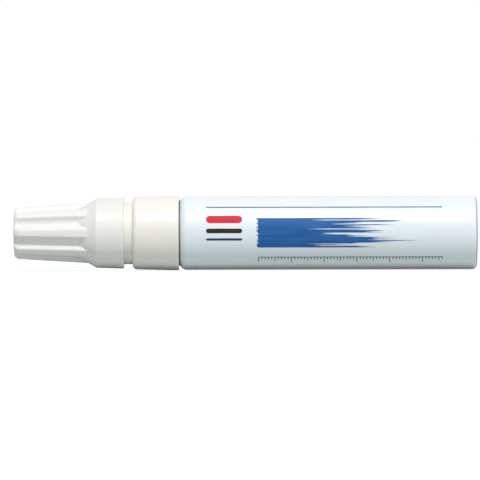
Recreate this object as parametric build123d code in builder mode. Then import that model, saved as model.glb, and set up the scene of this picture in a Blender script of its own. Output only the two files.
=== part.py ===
# Broad-tip valve-action paint marker, lying on its side with its cap on.
# X runs along the marker from the cap (-X) to the closed end of the barrel (+X), Z is up, and the
# origin is under the middle of the marker, on the surface that it lies on.
# Section sketches are drawn as (distance back from the tip of the cap, radius), in millimetres.
import os
from math import acos, cos, hypot, pi, radians, sin, sqrt, tan

from build123d import *

# Barrel: a thin can with a stepped-in neck
barrel_diameter = 22.5
barrel_length = 90.9
barrel_wall = 0.6
base_thickness = 1.0
base_round = 1.3
shoulder_step = 1.25
shoulder_round = 2.35
barrel_inner_round = 0.5
neck_bead_height = 0.25
neck_bead_width = 1.4
neck_bead_set = 3.0

# Collar: the ring that snaps over the neck of the barrel
collar_length = 14.2
collar_wall = 1.03
collar_draft = 1.36
collar_front_wall = 1.5
collar_front_round = 1.4
collar_rear_round = 0.25
collar_fit = 0.05
seam_gap = 0.36

# Mouthpiece: flange and spigot in the barrel, neck and cone under the cap, nose round the nib
flange_lip = 0.48
flange_thickness = 2.6
gasket_thickness = 1.2
spigot_fit = 0.05
mouthpiece_wall = 1.3
cone_angle = 29.0
cone_round = 1.5
nose_length = 6.5
nose_wall = 0.68
nose_round = 0.5
flow_ledge = 1.8
flow_length = 9.0
neck_show = 2.65
neck_rib_height = 0.15
neck_rib_width = 1.0
neck_rib_set = 1.6

# Nib: a felt block with a slanted writing edge
nib_width = 8.0
nib_thickness = 4.0
nib_length = 28.0
nib_reach = 9.25
nib_slant = 3.0
nib_round = 0.5
nib_edge_round = 0.25
nib_fit = 0.1
nib_travel = 2.0

# Cap: fluted shell with a cone shoulder and a plain skirt
cap_fit = 0.06
cap_bore_depth = 6.7
cap_cone_gap = 0.35
cap_end_wall = 1.3
cap_tip_round = 1.6
cap_mouth_round = 0.25
skirt_length = 8.4
skirt_wall = 1.15
skirt_draft = 2.0
cap_shoulder_length = 2.65
cap_shoulder_round = 0.6
flute_count = 8
flute_depth = 1.3
flute_radius = 2.36
flute_wall = 0.9
flute_end_wall = 0.5
flute_taper = 3.45
flute_turn = 22.3
flute_edge_round = 0.78
ridge_round_share = 0.4

# Liner: the inner cap that seals on the nose
liner_wall = 0.6
liner_fit = 0.05
liner_side_room = 0.4
liner_end_room = 1.95
liner_rear_gap = 2.0
seal_ring_width = 1.2
seal_ring_fit = 0.04

# Valve: seat, stem, seal, spring and cage
seat_thickness = 3.5
seat_margin = 2.0
seat_lip_height = 0.5
seat_lip_width = 0.6
press_clearance = 0.03
stem_radius = 1.4
stem_flow_gap = 0.9
stem_foot_drop = 0.3
stem_foot_thickness = 0.8
seal_thickness = 1.0
seal_margin = 0.5
head_rim = 0.2
head_thickness = 1.6
stub_radius = 1.8
stem_stub_length = 3.0
cage_stub_length = 2.0
cage_wall = 1.4
cage_end_wall = 1.4
cage_hole_count = 6
cage_hole_radius = 1.4
spring_length = 9.4
spring_wire = 0.45
spring_turns = 6
spring_fit = 0.2
contact_gap = 0.03

# Mixing balls
ball_diameter = 7.0
ball_fit = 0.05
ball_side_gap = 0.15
ball_rests = (22.0, 48.0)

# Radii, from the barrel inwards
barrel_radius = barrel_diameter / 2
barrel_bore = barrel_radius - barrel_wall
barrel_neck = barrel_radius - shoulder_step
barrel_neck_bore = barrel_neck - barrel_wall
flange_radius = barrel_neck
neck_radius = flange_radius - flange_lip
spigot_radius = barrel_neck_bore - spigot_fit
chamber_radius = spigot_radius - mouthpiece_wall
flow_radius = chamber_radius - flow_ledge
collar_bore = flange_radius + collar_fit
collar_front_radius = collar_bore + collar_wall
collar_rear_radius = collar_front_radius + collar_length * tan(radians(collar_draft))

# Radii, from the nib outwards
channel_width = nib_width + 2 * nib_fit
channel_thickness = nib_thickness + 2 * nib_fit
nose_radius = hypot(channel_width, channel_thickness) / 2 + nose_wall
liner_tip_radius = hypot(nib_width, nib_thickness) / 2 + liner_side_room
cavity_tip_radius = liner_tip_radius + liner_wall + liner_fit
cap_bore = neck_radius + neck_rib_height + cap_fit
mouth_radius = cap_bore + skirt_wall
skirt_front_radius = mouth_radius - skirt_length * tan(radians(skirt_draft))

# Places along the marker, back from the tip of the cap
taper_slope = tan(radians(flute_taper))
cone_slope = tan(radians(cone_angle))
liner_front = cap_end_wall + liner_fit
nib_tip = liner_front + liner_wall + liner_end_room
nib_rear = nib_tip + nib_length
nose_front = nib_tip + nib_reach
cone_front = nose_front + nose_length
neck_front = cone_front + (neck_radius - nose_radius) / cone_slope
cap_bore_front = (
    neck_front
    + (cap_bore - neck_radius) / cone_slope
    - cap_cone_gap / sin(radians(cone_angle))
)
cap_length = cap_bore_front + cap_bore_depth
skirt_front = cap_length - skirt_length
flute_length = skirt_front - cap_shoulder_length
cavity_rear = (cap_bore - cavity_tip_radius - cap_bore_front * cone_slope) / (taper_slope - cone_slope)
liner_rear = cone_front - liner_rear_gap
collar_front = cap_length + neck_show
collar_rear = collar_front + collar_length
barrel_front = collar_rear + seam_gap
barrel_rear = barrel_front + barrel_length
shoulder_rear = barrel_front + sqrt(shoulder_step * (2 * shoulder_round - shoulder_step))
flange_front = collar_front + collar_front_wall
flange_rear = flange_front + flange_thickness
barrel_neck_front = flange_rear + gasket_thickness
seat_front = nib_rear + nib_travel + seat_margin
seat_rear = seat_front + seat_thickness
seal_front = seat_rear + seat_lip_height + contact_gap
head_front = seal_front + seal_thickness
head_rear = head_front + head_thickness
spigot_rear = head_rear + spring_length
cage_rear = spigot_rear + cage_end_wall

# Radii of the grip at its tip: the flutes clear the hollow there, and its cone at their rear end
cone_under_flutes = cap_bore - (cap_bore_front - flute_length) * cone_slope
floor_over_cone = cone_under_flutes + flute_end_wall - flute_length * taper_slope
flute_floor_tip_radius = max(cavity_tip_radius + flute_wall, floor_over_cone)
ridge_tip_radius = flute_floor_tip_radius + flute_depth

# Round along the ridges: no more than the land between two flutes at the tip can take
flute_centre_radius = flute_floor_tip_radius + flute_radius
flute_half_angle = acos(
    (ridge_tip_radius**2 + flute_centre_radius**2 - flute_radius**2)
    / (2 * ridge_tip_radius * flute_centre_radius)
)
ridge_land = 2 * ridge_tip_radius * (pi / flute_count - flute_half_angle)
ridge_round = min(flute_edge_round, ridge_land * ridge_round_share)

# The marker's own axis, and the upright plane through it that holds every half section
axis_height = max(collar_rear_radius, barrel_radius, mouth_radius)
tip_x = -barrel_rear / 2
marker_axis = Axis((0, 0, axis_height), (1, 0, 0))
half_section = Plane(origin=(tip_x, 0, axis_height), x_dir=(1, 0, 0), z_dir=(0, -1, 0))


def cross_plane(along):
    return Plane(origin=(tip_x + along, 0, axis_height), x_dir=(0, 1, 0), z_dir=(1, 0, 0))


def corner(section, along, radius):
    return section.vertices().sort_by_distance((along, radius))[0]


def cavity_radius(along):
    return cavity_tip_radius + along * taper_slope


def ridge_radius(along):
    return ridge_tip_radius + along * taper_slope


os.makedirs("parts", exist_ok=True)

# Barrel
bead_middle = barrel_neck_front + neck_bead_set
bead_half = neck_bead_width / 2
bead_foot = barrel_neck - barrel_wall / 2
with BuildPart() as barrel:
    with BuildSketch(half_section) as barrel_section:
        with BuildLine():
            Polyline(
                (barrel_front + barrel_wall, barrel_neck_bore),
                (barrel_neck_front, barrel_neck_bore),
                (barrel_neck_front, barrel_neck),
                (barrel_front, barrel_neck),
            )
            TangentArc((shoulder_rear, barrel_radius), (barrel_front, barrel_neck), tangent=(-1, 0))
            Polyline(
                (shoulder_rear, barrel_radius),
                (barrel_rear, barrel_radius),
                (barrel_rear, 0),
                (barrel_rear - base_thickness, 0),
                (barrel_rear - base_thickness, barrel_bore),
                (shoulder_rear, barrel_bore),
            )
            TangentArc(
                (shoulder_rear, barrel_bore),
                (barrel_front + barrel_wall, barrel_neck_bore),
                tangent=(-1, 0),
            )
        make_face()
        fillet(corner(barrel_section, barrel_rear, barrel_radius), base_round)
        fillet(corner(barrel_section, barrel_rear - base_thickness, barrel_bore), barrel_inner_round)
    revolve(axis=marker_axis)
    with BuildSketch(half_section):
        with BuildLine():
            Polyline(
                (bead_middle + bead_half, barrel_neck),
                (bead_middle + bead_half, bead_foot),
                (bead_middle - bead_half, bead_foot),
                (bead_middle - bead_half, barrel_neck),
            )
            ThreePointArc(
                (bead_middle - bead_half, barrel_neck),
                (bead_middle, barrel_neck + neck_bead_height),
                (bead_middle + bead_half, barrel_neck),
            )
        make_face()
    revolve(axis=marker_axis)
barrel.part.label = "barrel"
export_step(barrel.part, "parts/barrel.step")

# Collar
groove_half = bead_half + collar_fit
collar_face = collar_front_radius - neck_radius - collar_fit
collar_front_fillet = min(collar_front_round, collar_face - contact_gap)
with BuildPart() as collar:
    with BuildSketch(half_section) as collar_section:
        with BuildLine():
            Polyline(
                (collar_front, neck_radius + collar_fit),
                (collar_front, collar_front_radius),
                (collar_rear, collar_rear_radius),
                (collar_rear, collar_bore),
                (flange_front, collar_bore),
                (flange_front, neck_radius + collar_fit),
                close=True,
            )
        make_face()
        fillet(corner(collar_section, collar_front, collar_front_radius), collar_front_fillet)
        fillet(corner(collar_section, collar_rear, collar_rear_radius), collar_rear_round)
    revolve(axis=marker_axis)
    with BuildSketch(half_section):
        with BuildLine():
            Line((bead_middle + groove_half, collar_bore), (bead_middle - groove_half, collar_bore))
            ThreePointArc(
                (bead_middle - groove_half, collar_bore),
                (bead_middle, collar_bore + neck_bead_height),
                (bead_middle + groove_half, collar_bore),
            )
        make_face()
    revolve(axis=marker_axis, mode=Mode.SUBTRACT)
collar.part.label = "collar"
export_step(collar.part, "parts/collar.step")

# Mouthpiece
with BuildPart() as mouthpiece:
    with BuildSketch(half_section) as mouthpiece_section:
        with BuildLine():
            Polyline(
                (nose_front, 0),
                (nose_front, nose_radius),
                (cone_front, nose_radius),
                (neck_front, neck_radius),
                (flange_front, neck_radius),
                (flange_front, flange_radius),
                (flange_rear, flange_radius),
                (flange_rear, spigot_radius),
                (spigot_rear, spigot_radius),
                (spigot_rear, 0),
                close=True,
            )
        make_face()
        fillet(corner(mouthpiece_section, nose_front, nose_radius), nose_round)
        fillet(corner(mouthpiece_section, cone_front, nose_radius), cone_round)
        fillet(corner(mouthpiece_section, neck_front, neck_radius), cone_round)
    revolve(axis=marker_axis)
    with BuildSketch(half_section):
        for rib_middle in (neck_front + neck_rib_set, cap_length - neck_rib_set):
            rib_start = rib_middle - neck_rib_width / 2
            rib_end = rib_middle + neck_rib_width / 2
            with BuildLine():
                Polyline(
                    (rib_end, neck_radius),
                    (rib_end, chamber_radius),
                    (rib_start, chamber_radius),
                    (rib_start, neck_radius),
                )
                ThreePointArc(
                    (rib_start, neck_radius),
                    (rib_middle, neck_radius + neck_rib_height),
                    (rib_end, neck_radius),
                )
            make_face()
    revolve(axis=marker_axis)
    with BuildSketch(cross_plane(nose_front)):
        Rectangle(channel_thickness, channel_width)
    extrude(amount=seat_front - nose_front, mode=Mode.SUBTRACT)
    with BuildSketch(cross_plane(seat_front)):
        Circle(flow_radius)
    extrude(amount=-flow_length, mode=Mode.SUBTRACT)
    with BuildSketch(cross_plane(seat_front)):
        Circle(chamber_radius)
    extrude(amount=spigot_rear - seat_front, mode=Mode.SUBTRACT)
mouthpiece.part.label = "mouthpiece"
export_step(mouthpiece.part, "parts/mouthpiece.step")

# Gasket between the flange and the rim of the barrel's neck
with BuildPart() as flange_gasket:
    with BuildSketch(cross_plane(flange_rear)):
        Circle(flange_radius)
        Circle(barrel_neck_bore, mode=Mode.SUBTRACT)
    extrude(amount=gasket_thickness)
flange_gasket.part.label = "flange_gasket"
export_step(flange_gasket.part, "parts/flange_gasket.step")

# Cap shell: the fluted grip first, then the shoulder and skirt, then the hollow
shoulder_inset = flute_depth / (cone_slope - taper_slope)
with BuildPart() as cap_shell:
    with BuildSketch(half_section) as grip_section:
        with BuildLine():
            Polyline(
                (0, 0),
                (0, ridge_tip_radius),
                (flute_length, ridge_radius(flute_length)),
                (flute_length, 0),
                close=True,
            )
        make_face()
        fillet(corner(grip_section, 0, ridge_tip_radius), cap_tip_round)
    revolve(axis=marker_axis)
    for flute in range(flute_count):
        turn = radians(flute_turn + flute * 360 / flute_count)
        outwards = Vector(0, -cos(turn), -sin(turn))
        run = Vector(1, 0, 0) + outwards * taper_slope
        cutter_tip_radius = flute_floor_tip_radius + flute_radius * run.length
        cutter_tip = Vector(tip_x, 0, axis_height) + outwards * cutter_tip_radius
        cutter_start = cutter_tip - run * flute_radius
        with BuildSketch(Plane(origin=cutter_start, z_dir=run)):
            Circle(flute_radius)
        extrude(amount=(flute_length + 2 * flute_radius) * run.length, mode=Mode.SUBTRACT)
    ridge_edges = cap_shell.edges().filter_by(lambda edge: edge.length > flute_length / 2)
    fillet(ridge_edges, ridge_round)
    with BuildSketch(half_section) as skirt_section:
        with BuildLine():
            Polyline(
                (flute_length - shoulder_inset, 0),
                (flute_length - shoulder_inset, ridge_radius(flute_length) - shoulder_inset * cone_slope),
                (flute_length, ridge_radius(flute_length)),
                (skirt_front, skirt_front_radius),
                (cap_length, mouth_radius),
                (cap_length, 0),
                close=True,
            )
        make_face()
        fillet(corner(skirt_section, skirt_front, skirt_front_radius), cap_shoulder_round)
        fillet(corner(skirt_section, cap_length, mouth_radius), cap_mouth_round)
    revolve(axis=marker_axis)
    with BuildSketch(half_section):
        with BuildLine():
            Polyline(
                (cap_end_wall, 0),
                (cap_end_wall, cavity_radius(cap_end_wall)),
                (cavity_rear, cavity_radius(cavity_rear)),
                (cap_bore_front, cap_bore),
                (cap_length, cap_bore),
                (cap_length, 0),
                close=True,
            )
        make_face()
    revolve(axis=marker_axis, mode=Mode.SUBTRACT)
cap_shell.part.label = "cap_shell"
export_step(cap_shell.part, "parts/cap_shell.step")


def liner_outer(along):
    return cavity_radius(along) - liner_fit


def liner_inner(along):
    return liner_outer(along) - liner_wall


# Inner cap: a tapered cup with a ring inside that closes on the nose
ring_rear = liner_rear - liner_wall
ring_front = ring_rear - seal_ring_width
with BuildPart() as inner_cap:
    with BuildSketch(half_section):
        with BuildLine():
            Polyline(
                (liner_front, 0),
                (liner_front, liner_outer(liner_front)),
                (liner_rear, liner_outer(liner_rear)),
                (liner_rear, liner_inner(liner_rear)),
                (ring_rear, liner_inner(ring_rear)),
            )
            ThreePointArc(
                (ring_rear, liner_inner(ring_rear)),
                ((ring_front + ring_rear) / 2, nose_radius + seal_ring_fit),
                (ring_front, liner_inner(ring_front)),
            )
            Polyline(
                (ring_front, liner_inner(ring_front)),
                (liner_front + liner_wall, liner_inner(liner_front + liner_wall)),
                (liner_front + liner_wall, 0),
                (liner_front, 0),
            )
        make_face()
    revolve(axis=marker_axis)
inner_cap.part.label = "inner_cap"
export_step(inner_cap.part, "parts/inner_cap.step")

# Nib: side outline with the slanted edge, extruded across its thickness
nib_half = nib_width / 2
with BuildPart() as nib:
    with BuildSketch(half_section):
        with BuildLine():
            Polyline(
                (nib_tip, nib_half),
                (nib_rear, nib_half),
                (nib_rear, -nib_half),
                (nib_tip + nib_slant, -nib_half),
                close=True,
            )
        make_face()
    extrude(amount=nib_thickness / 2, both=True)
    fillet(nib.edges().filter_by(Axis.X), nib_round)
    fillet(nib.faces().sort_by(Axis.X)[0].edges(), nib_edge_round)
nib.part.label = "nib"
export_step(nib.part, "parts/nib.step")

# Valve seat: a disc pressed into the chamber, with a lip round its hole
seat_hole = stem_radius + stem_flow_gap
lip_radius = seat_hole + seat_lip_width
seat_radius = chamber_radius - press_clearance
with BuildPart() as valve_seat:
    with BuildSketch(half_section):
        with BuildLine():
            Polyline(
                (seat_front, seat_hole),
                (seat_front, seat_radius),
                (seat_rear, seat_radius),
                (seat_rear, lip_radius),
                (seat_rear + seat_lip_height, lip_radius),
                (seat_rear + seat_lip_height, seat_hole),
                close=True,
            )
        make_face()
    revolve(axis=marker_axis)
valve_seat.part.label = "valve_seat"
export_step(valve_seat.part, "parts/valve_seat.step")

# Valve stem: a foot on the nib, a rod through the seat, a head behind it and a stub in the spring
seal_radius = lip_radius + seal_margin
head_radius = seal_radius + head_rim
foot_radius = seat_hole - stem_foot_drop
with BuildPart() as valve_stem:
    with BuildSketch(half_section):
        with BuildLine():
            Polyline(
                (nib_rear, 0),
                (nib_rear, foot_radius),
                (nib_rear + stem_foot_thickness, foot_radius),
                (nib_rear + stem_foot_thickness, stem_radius),
                (head_front, stem_radius),
                (head_front, head_radius),
                (head_rear, head_radius),
                (head_rear, stub_radius),
                (head_rear + stem_stub_length, stub_radius),
                (head_rear + stem_stub_length, 0),
                close=True,
            )
        make_face()
    revolve(axis=marker_axis)
valve_stem.part.label = "valve_stem"
export_step(valve_stem.part, "parts/valve_stem.step")

# Valve seal: a rubber ring on the rod, against the head
with BuildPart() as valve_seal:
    with BuildSketch(cross_plane(seal_front)):
        Circle(seal_radius)
        Circle(stem_radius + press_clearance, mode=Mode.SUBTRACT)
    extrude(amount=seal_thickness)
valve_seal.part.label = "valve_seal"
export_step(valve_seal.part, "parts/valve_seal.step")

# Valve cage: a sleeve on the seat, closed behind by an end plate with paint holes and a spring stub
cage_bore = seat_radius - cage_wall
hole_circle = (stub_radius + cage_bore) / 2
with BuildPart() as valve_cage:
    with BuildSketch(half_section):
        with BuildLine():
            Polyline(
                (seat_rear, cage_bore),
                (seat_rear, seat_radius),
                (spigot_rear, seat_radius),
                (spigot_rear, spigot_radius),
                (cage_rear, spigot_radius),
                (cage_rear, 0),
                (spigot_rear - cage_stub_length, 0),
                (spigot_rear - cage_stub_length, stub_radius),
                (spigot_rear, stub_radius),
                (spigot_rear, cage_bore),
                close=True,
            )
        make_face()
    revolve(axis=marker_axis)
    with BuildSketch(cross_plane(spigot_rear)):
        with PolarLocations(hole_circle, cage_hole_count):
            Circle(cage_hole_radius)
    extrude(amount=cage_end_wall, mode=Mode.SUBTRACT)
valve_cage.part.label = "valve_cage"
export_step(valve_cage.part, "parts/valve_cage.step")

# Valve spring: one wire on a helix, each quarter turn a pair of tangent arcs
coil_radius = stub_radius + spring_fit + spring_wire / 2
coil_front = head_rear + contact_gap + spring_wire / 2
coil_rear = spigot_rear - contact_gap - spring_wire / 2
coil_pitch = (coil_rear - coil_front) / spring_turns
quarter_turns = 4 * spring_turns


def coil_point(quarter):
    turn = quarter * pi / 2
    along = tip_x + coil_front + coil_pitch * quarter / 4
    return Vector(along, coil_radius * cos(turn), axis_height + coil_radius * sin(turn))


def coil_heading(quarter):
    turn = quarter * pi / 2
    around = 2 * pi * coil_radius
    return Vector(coil_pitch, -around * sin(turn), around * cos(turn)).normalized()


with BuildPart() as valve_spring:
    with BuildLine() as wire_path:
        for quarter in range(quarter_turns):
            start = coil_point(quarter)
            end = coil_point(quarter + 1)
            leave = coil_heading(quarter)
            arrive = coil_heading(quarter + 1)
            chord = end - start
            lean = chord.dot(leave + arrive)
            spread = 2 * (1 - leave.dot(arrive))
            reach = (sqrt(lean * lean + chord.dot(chord) * spread) - lean) / spread
            first_knee = start + leave * reach
            second_knee = end - arrive * reach
            middle = (first_knee + second_knee) * 0.5
            TangentArc(start, middle, tangent=leave)
            TangentArc(middle, end, tangent=second_knee - first_knee)
    with BuildSketch(Plane(origin=coil_point(0), z_dir=coil_heading(0))):
        Circle(spring_wire / 2)
    sweep(path=wire_path.wires()[0])
coil_points = [coil_point(step / 4) for step in range(4 * quarter_turns + 1)]
turn_steps = [(near - far).length for i, near in enumerate(coil_points) for far in coil_points[i + 8 :]]
print(f"valve_spring: least gap between turns {min(turn_steps) - spring_wire:.2f} mm")
valve_spring.part.label = "valve_spring"
export_step(valve_spring.part, "parts/valve_spring.step")

# Mixing balls: two loose steel balls, side by side on the floor of the barrel
ball_radius = ball_diameter / 2
ball_side = ball_radius + ball_side_gap
lane_radius = barrel_bore - ball_radius - ball_fit
ball_height = axis_height - sqrt(lane_radius**2 - ball_side**2)
for number, (rest, side) in enumerate(zip(ball_rests, (-ball_side, ball_side)), start=1):
    with BuildPart() as mixing_ball:
        with Locations((tip_x + barrel_front + rest, side, ball_height)):
            Sphere(ball_radius)
    mixing_ball.part.label = f"mixing_ball_{number}"
    export_step(mixing_ball.part, f"parts/mixing_ball_{number}.step")
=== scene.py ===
# Dresses the paint marker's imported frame: finishes, ink, felt nib, valve spring, light and camera
import math
import random

import bmesh
import bpy
from mathutils import Matrix, Vector, noise


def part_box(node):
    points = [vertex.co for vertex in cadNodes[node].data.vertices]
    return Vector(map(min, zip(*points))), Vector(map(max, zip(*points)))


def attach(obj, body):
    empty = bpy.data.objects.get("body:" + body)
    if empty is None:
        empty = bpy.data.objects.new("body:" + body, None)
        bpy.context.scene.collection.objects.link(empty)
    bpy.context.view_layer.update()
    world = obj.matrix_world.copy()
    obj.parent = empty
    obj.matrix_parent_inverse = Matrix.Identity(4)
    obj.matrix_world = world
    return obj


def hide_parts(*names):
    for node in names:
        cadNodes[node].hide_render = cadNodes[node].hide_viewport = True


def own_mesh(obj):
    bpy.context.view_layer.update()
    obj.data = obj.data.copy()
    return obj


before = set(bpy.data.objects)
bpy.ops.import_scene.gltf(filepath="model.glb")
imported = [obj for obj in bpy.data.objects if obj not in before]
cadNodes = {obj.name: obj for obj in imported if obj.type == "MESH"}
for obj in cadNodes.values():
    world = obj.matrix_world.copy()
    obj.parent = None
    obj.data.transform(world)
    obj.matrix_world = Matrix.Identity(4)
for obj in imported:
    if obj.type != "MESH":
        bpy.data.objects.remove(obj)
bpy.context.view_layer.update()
scene = bpy.context.scene
print("frame loaded:", len(cadNodes), "nodes")

# places read off the frame, in metres
millimetre = 0.001
barrelLow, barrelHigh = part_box("barrel")
nibLow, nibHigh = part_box("nib")
springLow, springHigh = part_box("valve_spring")
axisHeight = (barrelLow.z + barrelHigh.z) / 2
barrelRadius = (barrelHigh.z - barrelLow.z) / 2
seamGap = 0.36 * millimetre
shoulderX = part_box("collar")[1].x + seamGap  # where the lacquered wall starts, behind the seam


# small tools for the node trees and the meshes

wholeRange = (0.0, 1.0)


def startMaterial(name):
    material = bpy.data.materials.new(name)
    material.use_nodes = True
    tree = material.node_tree
    shader = tree.nodes["Principled BSDF"]
    objectPlace = tree.nodes.new("ShaderNodeTexCoord").outputs["Object"]
    return material, tree, shader, objectPlace


def addNoise(tree, place, scale, detail=2.0, stretch=None):
    node = tree.nodes.new("ShaderNodeTexNoise")
    node.inputs["Scale"].default_value = scale
    node.inputs["Detail"].default_value = detail
    if stretch:
        mapping = tree.nodes.new("ShaderNodeMapping")
        mapping.inputs["Scale"].default_value = stretch
        tree.links.new(place, mapping.inputs["Vector"])
        place = mapping.outputs["Vector"]
    tree.links.new(place, node.inputs["Vector"])
    return node.outputs["Fac"]


def addMath(tree, operation, *values):
    node = tree.nodes.new("ShaderNodeMath")
    node.operation = operation
    for socket, value in zip(node.inputs, values):
        if isinstance(value, (int, float)):
            socket.default_value = value
        else:
            tree.links.new(value, socket)
    return node.outputs["Value"]


def addRange(tree, value, source, target=wholeRange):
    node = tree.nodes.new("ShaderNodeMapRange")
    for name, number in zip(("From Min", "From Max", "To Min", "To Max"), (*source, *target)):
        node.inputs[name].default_value = number
    tree.links.new(value, node.inputs["Value"])
    return node.outputs["Result"]


def addTint(tree, factor, first, second):
    node = tree.nodes.new("ShaderNodeMix")
    node.data_type = "RGBA"
    tree.links.new(factor, node.inputs["Factor"])
    for socket, colour in zip((node.inputs[6], node.inputs[7]), (first, second)):
        if isinstance(colour, tuple):
            socket.default_value = (*colour, 1)
        else:
            tree.links.new(colour, socket)
    return node.outputs[2]


def addBump(tree, shader, height, strength, distance):
    node = tree.nodes.new("ShaderNodeBump")
    node.inputs["Strength"].default_value = strength
    node.inputs["Distance"].default_value = distance
    tree.links.new(height, node.inputs["Height"])
    tree.links.new(node.outputs["Normal"], shader.inputs["Normal"])


def addGrain(tree, shader, place, look):
    grain = addNoise(tree, place, look["grainScale"])
    addBump(tree, shader, grain, look["grainStrength"], look["grainDepth"])


def finishNode(nodeName, material):
    mesh = cadNodes[nodeName].data
    mesh.materials.clear()
    mesh.materials.append(material)


def makePiece(name, bm, material, body):
    mesh = bpy.data.meshes.new(name)
    bm.to_mesh(mesh)
    bm.free()
    mesh.materials.append(material)
    piece = bpy.data.objects.new(name, mesh)
    scene.collection.objects.link(piece)
    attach(piece, body)
    return piece


def noiseShare(place):
    return 0.5 + 0.5 * noise.noise(Vector(place))  # from -1..1 to 0..1


# moulded plastics: tint drifts over a centimetre, gloss over a millimetre, with a fine grain under that

plasticBase = {
    "driftDetail": 3.0, "driftSpread": (0.35, 0.65), "glossScale": 900.0, "glossSpread": (0.3, 0.7),
    "index": 1.49, "glowDepth": 1.0 * millimetre,
}
capLook = {
    "colour": (0.77, 0.76, 0.73), "drift": (0.755, 0.745, 0.715), "driftScale": 110.0,
    "roughness": (0.44, 0.52), "grainScale": 5200.0, "grainStrength": 0.12, "grainDepth": 0.000012,
}
linerLook = {
    "colour": (0.82, 0.83, 0.82), "drift": (0.78, 0.80, 0.79), "driftScale": 150.0,
    "roughness": (0.40, 0.48), "grainScale": 4200.0, "grainStrength": 0.10, "grainDepth": 0.000012,
}
collarLook = {
    "colour": (0.80, 0.775, 0.73), "drift": (0.785, 0.76, 0.715), "driftScale": 120.0,
    "roughness": (0.42, 0.48), "grainScale": 3800.0, "grainStrength": 0.06, "grainDepth": 0.00001,
    "glow": 0.15,
}
mouthpieceLook = {
    "colour": (0.80, 0.785, 0.72), "drift": (0.78, 0.765, 0.70), "driftScale": 130.0,
    "roughness": (0.44, 0.52), "grainScale": 4600.0, "grainStrength": 0.10, "grainDepth": 0.000012,
    "glow": 0.15,
}
valveLook = {
    "colour": (0.80, 0.81, 0.79), "drift": (0.76, 0.775, 0.755), "driftScale": 200.0,
    "roughness": (0.36, 0.46), "grainScale": 5000.0, "grainStrength": 0.10, "grainDepth": 0.00001,
}


def mouldedPlastic(name, look):
    material, tree, shader, place = startMaterial(name)
    drift = addNoise(tree, place, look["driftScale"], plasticBase["driftDetail"])
    mottle = addRange(tree, drift, plasticBase["driftSpread"])
    tree.links.new(addTint(tree, mottle, look["colour"], look["drift"]), shader.inputs["Base Color"])
    gloss = addNoise(tree, place, plasticBase["glossScale"])
    roughness = addRange(tree, gloss, plasticBase["glossSpread"], look["roughness"])
    tree.links.new(roughness, shader.inputs["Roughness"])
    addGrain(tree, shader, place, look)
    shader.inputs["IOR"].default_value = plasticBase["index"]
    if "glow" in look:  # milky plastics let a little light through
        shader.inputs["Subsurface Weight"].default_value = look["glow"]
        shader.inputs["Subsurface Radius"].default_value = (1, 1, 1)
        shader.inputs["Subsurface Scale"].default_value = plasticBase["glowDepth"]
    return material


finishNode("cap_shell", mouldedPlastic("capPlastic", capLook))
finishNode("inner_cap", mouldedPlastic("linerPlastic", linerLook))
finishNode("collar", mouldedPlastic("collarPlastic", collarLook))
finishNode("mouthpiece", mouldedPlastic("mouthpiecePlastic", mouthpieceLook))
valvePlastic = mouldedPlastic("valvePlastic", valveLook)
for nodeName in ("valve_stem", "valve_seat", "valve_cage"):
    finishNode(nodeName, valvePlastic)
print("plastics done")


# barrel: white lacquer with a fine orange peel outside, and a dark painted shade on the neck and
# inside, where the real can is bare metal, so the seam behind the collar reads dark

barrelLook = {
    "lacquer": (0.735, 0.78, 0.818), "lacquerDrift": (0.725, 0.772, 0.811),
    "driftScale": 80.0, "driftDetail": 3.0, "driftSpread": (0.35, 0.65),
    # painted shade: a near-black colour on the neck, seen down the seam behind the collar, stands in
    # for the seam's shadow
    "paintedShade": (0.045, 0.043, 0.041), "paintedShadeDrift": (0.034, 0.032, 0.031),
    "drawnScale": 260.0, "drawnDetail": 4.0, "drawnStretch": (1.0, 14.0, 14.0),
    "drawnSpread": (0.3, 0.7),
    "lacquerRoughness": (0.44, 0.50), "paintedShadeRoughness": (0.55, 0.70),
    "glossScale": 420.0, "glossDetail": 3.0, "glossSpread": (0.3, 0.7),
    "peelScale": 1500.0, "peelStrength": 0.03, "peelDepth": 0.00002,
    "index": 1.5, "coat": 0.15, "coatRoughness": 0.36,
    "skin": 0.3 * millimetre, "shoulderRound": 2.35 * millimetre, "shoulderRun": 2.077 * millimetre,
}


def addPaintedShadeMask(tree, place, look):
    # where the shade is painted: 1 on the neck and inside the can, 0 on its outer wall, shoulder and
    # base
    split = tree.nodes.new("ShaderNodeSeparateXYZ")
    tree.links.new(place, split.inputs["Vector"])
    along = split.outputs["X"]
    height = addMath(tree, "SUBTRACT", split.outputs["Z"], axisHeight)
    acrossSquare = addMath(tree, "POWER", split.outputs["Y"], 2.0)
    heightSquare = addMath(tree, "POWER", height, 2.0)
    radius = addMath(tree, "SQRT", addMath(tree, "ADD", acrossSquare, heightSquare))
    onNeck = addMath(tree, "LESS_THAN", along, shoulderX)
    reach = addMath(tree, "SUBTRACT", shoulderX + look["shoulderRun"], along)
    reachSquare = addMath(tree, "POWER", addMath(tree, "MAXIMUM", reach, 0.0), 2.0)
    drop = addMath(tree, "SUBTRACT", look["shoulderRound"] ** 2, reachSquare)
    roundFoot = barrelRadius - look["shoulderRound"] - look["skin"]
    wall = addMath(tree, "ADD", addMath(tree, "SQRT", drop), roundFoot)  # follows the shoulder's arc
    inside = addMath(tree, "LESS_THAN", radius, wall)
    beforeBase = addMath(tree, "LESS_THAN", along, barrelHigh.x - look["skin"])
    return addMath(tree, "MAXIMUM", onNeck, addMath(tree, "MULTIPLY", inside, beforeBase))


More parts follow.
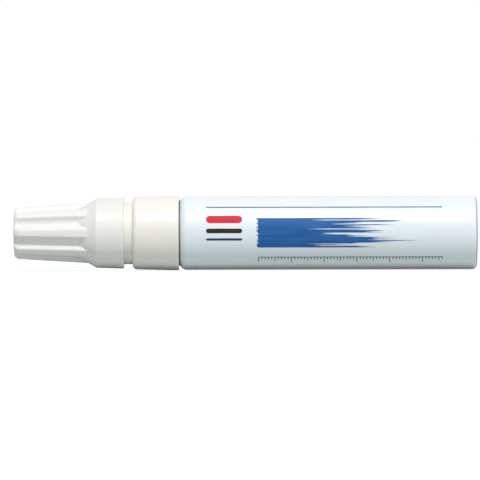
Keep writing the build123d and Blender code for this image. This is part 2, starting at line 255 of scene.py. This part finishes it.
def lacqueredCan(look):
    material, tree, shader, place = startMaterial("barrelLacquer")
    inPaintedShade = addPaintedShadeMask(tree, place, look)
    drift = addNoise(tree, place, look["driftScale"], look["driftDetail"])
    mottle = addRange(tree, drift, look["driftSpread"])
    drawMarks = addNoise(tree, place, look["drawnScale"], look["drawnDetail"], look["drawnStretch"])
    drawn = addRange(tree, drawMarks, look["drawnSpread"])
    lacquer = addTint(tree, mottle, look["lacquer"], look["lacquerDrift"])
    # the neck and the inside take the dark painted shade, the outer wall the lacquer
    paintedShade = addTint(tree, drawn, look["paintedShade"], look["paintedShadeDrift"])
    tree.links.new(addTint(tree, inPaintedShade, lacquer, paintedShade), shader.inputs["Base Color"])
    gloss = addNoise(tree, place, look["glossScale"], look["glossDetail"])
    glossy = addRange(tree, gloss, look["glossSpread"], look["lacquerRoughness"])
    dull = addRange(tree, drawn, wholeRange, look["paintedShadeRoughness"])
    roughnessMix = tree.nodes.new("ShaderNodeMix")
    for socket, value in zip((0, 2, 3), (inPaintedShade, glossy, dull)):
        tree.links.new(value, roughnessMix.inputs[socket])
    tree.links.new(roughnessMix.outputs[0], shader.inputs["Roughness"])
    peel = addNoise(tree, place, look["peelScale"])
    addBump(tree, shader, peel, look["peelStrength"], look["peelDepth"])
    shader.inputs["IOR"].default_value = look["index"]
    shader.inputs["Coat Weight"].default_value = look["coat"]
    shader.inputs["Coat Roughness"].default_value = look["coatRoughness"]
    return material


finishNode("barrel", lacqueredCan(barrelLook))
print("barrel done")


# rubber seals: dark, matt, with a fine bloom

rubberLook = {
    "colour": (0.030, 0.030, 0.032), "bloom": (0.052, 0.052, 0.055), "roughness": (0.62, 0.78),
    "bloomScale": 1400.0, "bloomDetail": 4.0, "bloomSpread": (0.4, 0.7),
    "grainScale": 6000.0, "grainStrength": 0.2, "grainDepth": 0.00001,
}


def sealRubber(look):
    material, tree, shader, place = startMaterial("sealRubber")
    specks = addNoise(tree, place, look["bloomScale"], look["bloomDetail"])
    bloom = addRange(tree, specks, look["bloomSpread"])
    tree.links.new(addTint(tree, bloom, look["colour"], look["bloom"]), shader.inputs["Base Color"])
    tree.links.new(addRange(tree, bloom, wholeRange, look["roughness"]), shader.inputs["Roughness"])
    addGrain(tree, shader, place, look)
    return material


rubber = sealRubber(rubberLook)
finishNode("flange_gasket", rubber)
finishNode("valve_seal", rubber)


# steels: polished balls with faint rub marks, and drawn wire for the spring

steelBase = {
    "rubScale": 900.0, "rubDetail": 5.0, "rubSpread": (0.45, 0.7),
    "rubStrength": 0.05, "rubDepth": 0.000004,
}
ballLook = {
    "colour": (0.66, 0.67, 0.69), "rub": (0.56, 0.57, 0.59), "roughness": (0.10, 0.22),
    "stretch": (1.0, 1.0, 1.0),
}
wireLook = {
    "colour": (0.56, 0.57, 0.59), "rub": (0.44, 0.45, 0.47), "roughness": (0.22, 0.36),
    "stretch": (9.0, 1.0, 1.0),
}


def brightSteel(name, look):
    material, tree, shader, place = startMaterial(name)
    marks = addNoise(tree, place, steelBase["rubScale"], steelBase["rubDetail"], look["stretch"])
    rub = addRange(tree, marks, steelBase["rubSpread"])
    tree.links.new(addTint(tree, rub, look["colour"], look["rub"]), shader.inputs["Base Color"])
    tree.links.new(addRange(tree, rub, wholeRange, look["roughness"]), shader.inputs["Roughness"])
    addBump(tree, shader, rub, steelBase["rubStrength"], steelBase["rubDepth"])
    shader.inputs["Metallic"].default_value = 1.0
    return material


ballSteel = brightSteel("ballSteel", ballLook)
finishNode("mixing_ball_1", ballSteel)
finishNode("mixing_ball_2", ballSteel)
print("rubber and steel done")


# valve spring: one wire wound on a helix

springShape = {
    "wire": 0.45 * millimetre, "turns": 6, "stepsPerTurn": 32, "wireSides": 12,
    "travel": 2.0 * millimetre,
}


def windSpring(shape):
    wireRadius = shape["wire"] / 2
    coilRadius = springHigh.y - wireRadius
    length = springHigh.x - springLow.x
    pitch = (length - shape["wire"]) / shape["turns"]
    bm = bmesh.new()
    made = bmesh.ops.create_circle(bm, segments=shape["wireSides"], radius=wireRadius)
    bmesh.ops.translate(bm, verts=made["verts"], vec=(springLow.x + wireRadius, coilRadius, axisHeight))
    bmesh.ops.spin(
        bm, geom=bm.verts[:] + bm.edges[:], cent=(0, 0, axisHeight), axis=(1, 0, 0),
        dvec=(pitch / shape["stepsPerTurn"], 0, 0), angle=2 * math.pi * shape["turns"],
        steps=shape["turns"] * shape["stepsPerTurn"],
    )
    bmesh.ops.holes_fill(bm, edges=[edge for edge in bm.edges if edge.is_boundary], sides=0)
    bmesh.ops.recalc_face_normals(bm, faces=bm.faces[:])
    for face in bm.faces:
        face.smooth = len(face.verts) == 4  # the wire's two cut ends stay flat
    spring = makePiece("spring_wire", bm, brightSteel("springSteel", wireLook), "barrel")
    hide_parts("valve_spring")
    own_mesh(spring)


windSpring(springShape)
print("spring done")


# nib: pressed felt block with a slanted writing edge and loose fibres in its skin

nibShape = {
    "edgeRound": 0.45 * millimetre, "roundSteps": 3,
    "slant": 3.0 * millimetre, "slantRun": 11.0 * millimetre,
    "cell": 0.25 * millimetre, "longEdge": 1.0 * millimetre, "inLine": 0.8,
    "fibreDepth": 0.05 * millimetre, "fibreGrain": (500, 2600, 2600),
}
feltLook = {
    "colour": (0.86, 0.86, 0.82), "shade": (0.70, 0.70, 0.65), "toneSpread": (0.55, 0.95),
    "fibreScale": 900.0, "fibreDetail": 6.0, "fibreStretch": (1.0, 5.0, 5.0),
    "clumpScale": 420.0, "clumpDetail": 3.0, "clumpShare": 0.5,
    "bumpStrength": 0.6, "bumpDepth": 0.00008, "roughness": 0.95, "sheen": 0.25,
}


def feltMaterial(look):
    material, tree, shader, place = startMaterial("nibFelt")
    fibres = addNoise(tree, place, look["fibreScale"], look["fibreDetail"], look["fibreStretch"])
    clumps = addNoise(tree, place, look["clumpScale"], look["clumpDetail"])
    mixed = addMath(tree, "MULTIPLY_ADD", clumps, look["clumpShare"], fibres)
    tone = addRange(tree, mixed, look["toneSpread"])
    tree.links.new(addTint(tree, tone, look["shade"], look["colour"]), shader.inputs["Base Color"])
    addBump(tree, shader, fibres, look["bumpStrength"], look["bumpDepth"])
    shader.inputs["Roughness"].default_value = look["roughness"]
    shader.inputs["Sheen Weight"].default_value = look["sheen"]
    return material


def pressNib(shape):
    size = nibHigh - nibLow
    centre = (nibHigh + nibLow) / 2
    bm = bmesh.new()
    bmesh.ops.create_cube(bm, size=1.0, matrix=Matrix.Translation(centre) @ Matrix.Diagonal((*size, 1)))
    bmesh.ops.bevel(
        bm, geom=bm.edges[:], offset=shape["edgeRound"], affect="EDGES", segments=shape["roundSteps"],
        profile=0.5, material=-1,
    )
    for direction in range(3):  # a fine even grid on every face
        longEdges = []
        for edge in bm.edges:
            length = edge.calc_length()
            run = abs(edge.verts[0].co[direction] - edge.verts[1].co[direction])
            if length > shape["longEdge"] and run > shape["inLine"] * length:
                longEdges.append(edge)
        bmesh.ops.subdivide_edges(
            bm, edges=longEdges, cuts=int(size[direction] / shape["cell"]) - 1, use_grid_fill=True,
        )
    bm.normal_update()
    for vertex in bm.verts:
        fibre = noiseShare([part * grain for part, grain in zip(vertex.co, shape["fibreGrain"])])
        vertex.co = vertex.co - vertex.normal * shape["fibreDepth"] * fibre
    for vertex in bm.verts:  # lean the front face back towards its lower edge
        fromTip = (vertex.co.x - nibLow.x) / shape["slantRun"]
        lower = (nibHigh.z - vertex.co.z) / size.z
        vertex.co.x += shape["slant"] * lower * max(0.0, 1.0 - fromTip)
    bmesh.ops.recalc_face_normals(bm, faces=bm.faces[:])
    for face in bm.faces:
        face.smooth = True
    felt = makePiece("nib_felt_block", bm, feltMaterial(feltLook), "nib")
    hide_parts("nib")


pressNib(nibShape)
print("nib done")


# printed ink: line samples, a broad dry-brush stroke, a rule and a scale, screen-printed on the barrel

inkFilm = {
    "under": 0.008 * millimetre, "film": 0.02 * millimetre, "facet": 0.4 * millimetre,
    "snap": 0.002 * millimetre, "endSteps": 6,
}
inkColours = {
    "blue": ((0.014, 0.090, 0.290), (0.024, 0.125, 0.365)),
    "navy": ((0.014, 0.042, 0.130), (0.020, 0.056, 0.160)),
    "black": ((0.010, 0.011, 0.012), (0.018, 0.019, 0.020)),
    "red": ((0.560, 0.014, 0.038), (0.620, 0.024, 0.052)),
}
inkLook = {
    "streakScale": 700.0, "streakDetail": 4.0, "streakStretch": (0.12, 1.0, 1.0),
    "streakSpread": (0.35, 0.65), "roughness": (0.48, 0.60), "specular": 0.2,
    "grainScale": 3000.0, "grainStrength": 0.08, "grainDepth": 0.00001,
}


def inkMaterial(name, colours, look):
    material, tree, shader, place = startMaterial(name)
    pulled = addNoise(tree, place, look["streakScale"], look["streakDetail"], look["streakStretch"])
    streaks = addRange(tree, pulled, look["streakSpread"])
    tree.links.new(addTint(tree, streaks, *colours), shader.inputs["Base Color"])
    tree.links.new(addRange(tree, streaks, wholeRange, look["roughness"]), shader.inputs["Roughness"])
    addGrain(tree, shader, place, look)
    shader.inputs["Specular IOR Level"].default_value = look["specular"]
    return material


def layFlat(bm, left, right, low, high, endRound=0.0):
    outline = ((left, low), (right, low), (right, high), (left, high))
    corners = [bm.verts.new((x, across, 0)) for x, across in outline]
    face = bm.faces.new(corners)
    if endRound:
        bmesh.ops.bevel(
            bm, geom=corners + list(face.edges), offset=endRound, affect="VERTICES",
            segments=inkFilm["endSteps"], profile=0.5, material=-1,
        )


def wrapInk(name, bm):
    # flat drawing: x along the barrel, y round it from the middle of the front, then bent onto the wall
    lowest = min(vertex.co.y for vertex in bm.verts)
    highest = max(vertex.co.y for vertex in bm.verts)
    cut = lowest + inkFilm["facet"]
    while cut < highest:
        bmesh.ops.bisect_plane(
            bm, geom=bm.verts[:] + bm.edges[:] + bm.faces[:], dist=inkFilm["snap"],
            plane_co=(0, cut, 0), plane_no=(0, 1, 0),
        )
        cut += inkFilm["facet"]
    inner = barrelRadius + inkFilm["under"]
    for vertex in bm.verts:
        turn = vertex.co.y / barrelRadius
        vertex.co = (vertex.co.x, -inner * math.cos(turn), axisHeight + inner * math.sin(turn))
    bm.normal_update()
    outward = 0.0
    for face in bm.faces:
        middle = face.calc_center_median()
        outward += face.normal.dot(Vector((0, middle.y, middle.z - axisHeight)))
    if outward < 0:
        bmesh.ops.reverse_faces(bm, faces=bm.faces[:])
    bmesh.ops.solidify(bm, geom=bm.faces[:], thickness=-inkFilm["film"])
    bmesh.ops.recalc_face_normals(bm, faces=bm.faces[:])
    colours = inkColours[name.split("_")[1]]
    makePiece(name, bm, inkMaterial(name.replace("_", ""), colours, inkLook), "barrel")


def alongBarrel(distance):
    return shoulderX + distance * millimetre


def edgesOf(middle, width):
    return (middle - width / 2) * millimetre, (middle + width / 2) * millimetre


# the drawings are in millimetres, from the shoulder along the barrel and round it from its front line
linesDrawing = {
    "left": 8.0, "right": 19.0, "endRound": 0.49,
    "rows": (("ink_red_line", 4.2, 2.4), ("ink_black_line", 0.6, 1.4), ("ink_navy_line", -2.0, 0.7)),
}
strokeDrawing = {
    "left": 24.0, "wetEnd": 47.0, "longest": 71.0, "low": -4.6, "high": 4.6,
    "bristles": 36, "ragged": 0.8, "clump": 0.42, "clumpShare": 0.6, "thinning": 1.5,
    "early": 0.18, "earlyFrom": 0.6, "earlySpread": 0.35,  # some strips run dry in the wet part
    "taper": 6.0, "leastTaper": 0.4, "narrowing": 0.3, "seed": 11,
}
ruleDrawing = {"left": 8.0, "right": 80.0, "at": 8.6, "width": 0.35}
scaleDrawing = {
    "left": 24.0, "count": 57, "top": -8.2, "line": 0.22, "tick": 0.24,
    "short": 0.9, "longer": {0: 2.0, 5: 1.4},  # by the tick's last figure
}


def printLines(drawing):
    left, right = alongBarrel(drawing["left"]), alongBarrel(drawing["right"])
    for name, middle, width in drawing["rows"]:
        bm = bmesh.new()
        layFlat(bm, left, right, *edgesOf(middle, width), drawing["endRound"] * width * millimetre)
        wrapInk(name, bm)


def printStroke(drawing):
    # one strip for each few bristles, which run dry at their own place, neighbours near each other
    chance = random.Random(drawing["seed"])
    bm = bmesh.new()
    left, wetEnd, longest = (alongBarrel(drawing[key]) for key in ("left", "wetEnd", "longest"))
    low, high = drawing["low"] * millimetre, drawing["high"] * millimetre
    step = (high - low) / drawing["bristles"]
    for bristle in range(drawing["bristles"]):
        foot = low + bristle * step
        start = left - drawing["ragged"] * millimetre * chance.random()
        clump = noiseShare((bristle * drawing["clump"], drawing["seed"], 0.5))
        wet = drawing["clumpShare"] * clump + (1 - drawing["clumpShare"]) * chance.random()
        dry = wetEnd + (longest - wetEnd) * wet ** drawing["thinning"]
        if chance.random() < drawing["early"]:
            wetShare = drawing["earlyFrom"] + drawing["earlySpread"] * chance.random()
            dry = left + (wetEnd - left) * wetShare
        tip = dry + drawing["taper"] * millimetre * (drawing["leastTaper"] + chance.random())
        half = (dry + tip) / 2
        points = (
            (start, 0), (dry, 0), (half, drawing["narrowing"]), (tip, 0.5),
            (half, 1 - drawing["narrowing"]), (dry, 1), (start, 1),
        )
        bm.faces.new([bm.verts.new((x, foot + share * step, 0)) for x, share in points])
    wrapInk("ink_blue_stroke", bm)


def printRule(drawing):
    bm = bmesh.new()
    left, right = alongBarrel(drawing["left"]), alongBarrel(drawing["right"])
    layFlat(bm, left, right, *edgesOf(drawing["at"], drawing["width"]))
    wrapInk("ink_navy_rule", bm)


def printScale(drawing):
    # a comb in one piece: the ticks and the base line between them are joined at their corners
    bm = bmesh.new()
    foot = drawing["top"] * millimetre
    head = (drawing["top"] + drawing["line"]) * millimetre
    half = drawing["tick"] / 2 * millimetre
    for tick in range(drawing["count"]):
        length = drawing["longer"].get(tick % 10, drawing["short"])
        middle = alongBarrel(drawing["left"]) + tick * millimetre
        left, right = middle - half, middle + half
        layFlat(bm, left, right, (drawing["top"] - length) * millimetre, foot)
        layFlat(bm, left, right, foot, head)
        if tick:
            layFlat(bm, lastRight, left, foot, head)
        lastRight = right
    bmesh.ops.remove_doubles(bm, verts=bm.verts[:], dist=inkFilm["snap"])
    wrapInk("ink_black_scale", bm)


printLines(linesDrawing)
printStroke(strokeDrawing)
printRule(ruleDrawing)
printScale(scaleDrawing)
print("ink done")


# floor and backdrop: pale, white to the camera, with the marker's shadow kept

stageLook = {"floorSize": 8.0, "floorColour": (0.52, 0.57, 0.555), "floorLift": 0.50, "ambient": 0.44}


def addSeenRay(tree):
    rays = tree.nodes.new("ShaderNodeLightPath").outputs
    seen = addMath(tree, "MAXIMUM", rays["Is Camera Ray"], rays["Is Glossy Ray"])
    return addMath(tree, "MAXIMUM", seen, rays["Is Transmission Ray"])


def makeFloor(look):
    bm = bmesh.new()
    bmesh.ops.create_grid(bm, x_segments=1, y_segments=1, size=look["floorSize"] / 2)
    mesh = bpy.data.meshes.new("floor")
    bm.to_mesh(mesh)
    bm.free()
    material, tree, shader = startMaterial("floorCard")[:3]
    tree.nodes.remove(shader)
    card = tree.nodes.new("ShaderNodeBsdfDiffuse")
    card.inputs["Color"].default_value = (*look["floorColour"], 1)
    lift = tree.nodes.new("ShaderNodeEmission")
    strength = addMath(tree, "MULTIPLY", addSeenRay(tree), look["floorLift"])
    tree.links.new(strength, lift.inputs["Strength"])
    both = tree.nodes.new("ShaderNodeAddShader")
    tree.links.new(card.outputs[0], both.inputs[0])
    tree.links.new(lift.outputs[0], both.inputs[1])
    tree.links.new(both.outputs[0], tree.nodes["Material Output"].inputs["Surface"])
    mesh.materials.append(material)
    floor = bpy.data.objects.new("floor", mesh)
    scene.collection.objects.link(floor)


def makeBackdrop(look):
    world = bpy.data.worlds.new("studio")
    world.use_nodes = True
    tree = world.node_tree
    background = tree.nodes["Background"]
    background.inputs["Color"].default_value = (1, 1, 1, 1)
    strength = addRange(tree, addSeenRay(tree), wholeRange, (look["ambient"], 1.0))
    tree.links.new(strength, background.inputs["Strength"])
    scene.world = world


makeFloor(stageLook)
makeBackdrop(stageLook)


# lamps: a key high in front, and a broad low fill from the right

keyLight = {"elevation": 54.0, "azimuth": 6.0, "spread": 6.0, "strength": 2.17}
fillLight = {"elevation": 6.0, "azimuth": 40.0, "spread": 60.0, "strength": 0.66}


def hangLamp(name, light):
    lamp = bpy.data.lights.new(name, "SUN")
    lamp.angle = math.radians(light["spread"])
    lamp.energy = light["strength"]
    hung = bpy.data.objects.new(name, lamp)
    lift, swing = math.radians(light["elevation"]), math.radians(light["azimuth"])
    away = Vector((math.sin(swing) * math.cos(lift), -math.cos(swing) * math.cos(lift), math.sin(lift)))
    hung.location = Vector((0, 0, axisHeight)) + away
    hung.rotation_euler = (-away).to_track_quat("-Z", "Y").to_euler()
    scene.collection.objects.link(hung)


hangLamp("keyLamp", keyLight)
hangLamp("fillLamp", fillLight)


# camera: long lens, level with the marker, as in the photograph

cameraView = {
    "lens": 416.0, "sensor": 36.0, "farClip": 30.0, "distance": 1.7,
    "alongX": -1.684 * millimetre, "height": 9.25 * millimetre, "rollDegrees": 0.13,
}


def makeCamera(view):
    lens = bpy.data.cameras.new("camera")
    lens.lens = view["lens"]
    lens.sensor_width = view["sensor"]
    lens.clip_end = view["farClip"]
    camera = bpy.data.objects.new("camera", lens)
    camera.location = (view["alongX"], -view["distance"], view["height"])
    camera.rotation_euler = (math.radians(90), math.radians(view["rollDegrees"]), 0)
    scene.collection.objects.link(camera)
    scene.camera = camera


makeCamera(cameraView)
scene.view_settings.view_transform = "Standard"
print("stage, light and camera done")
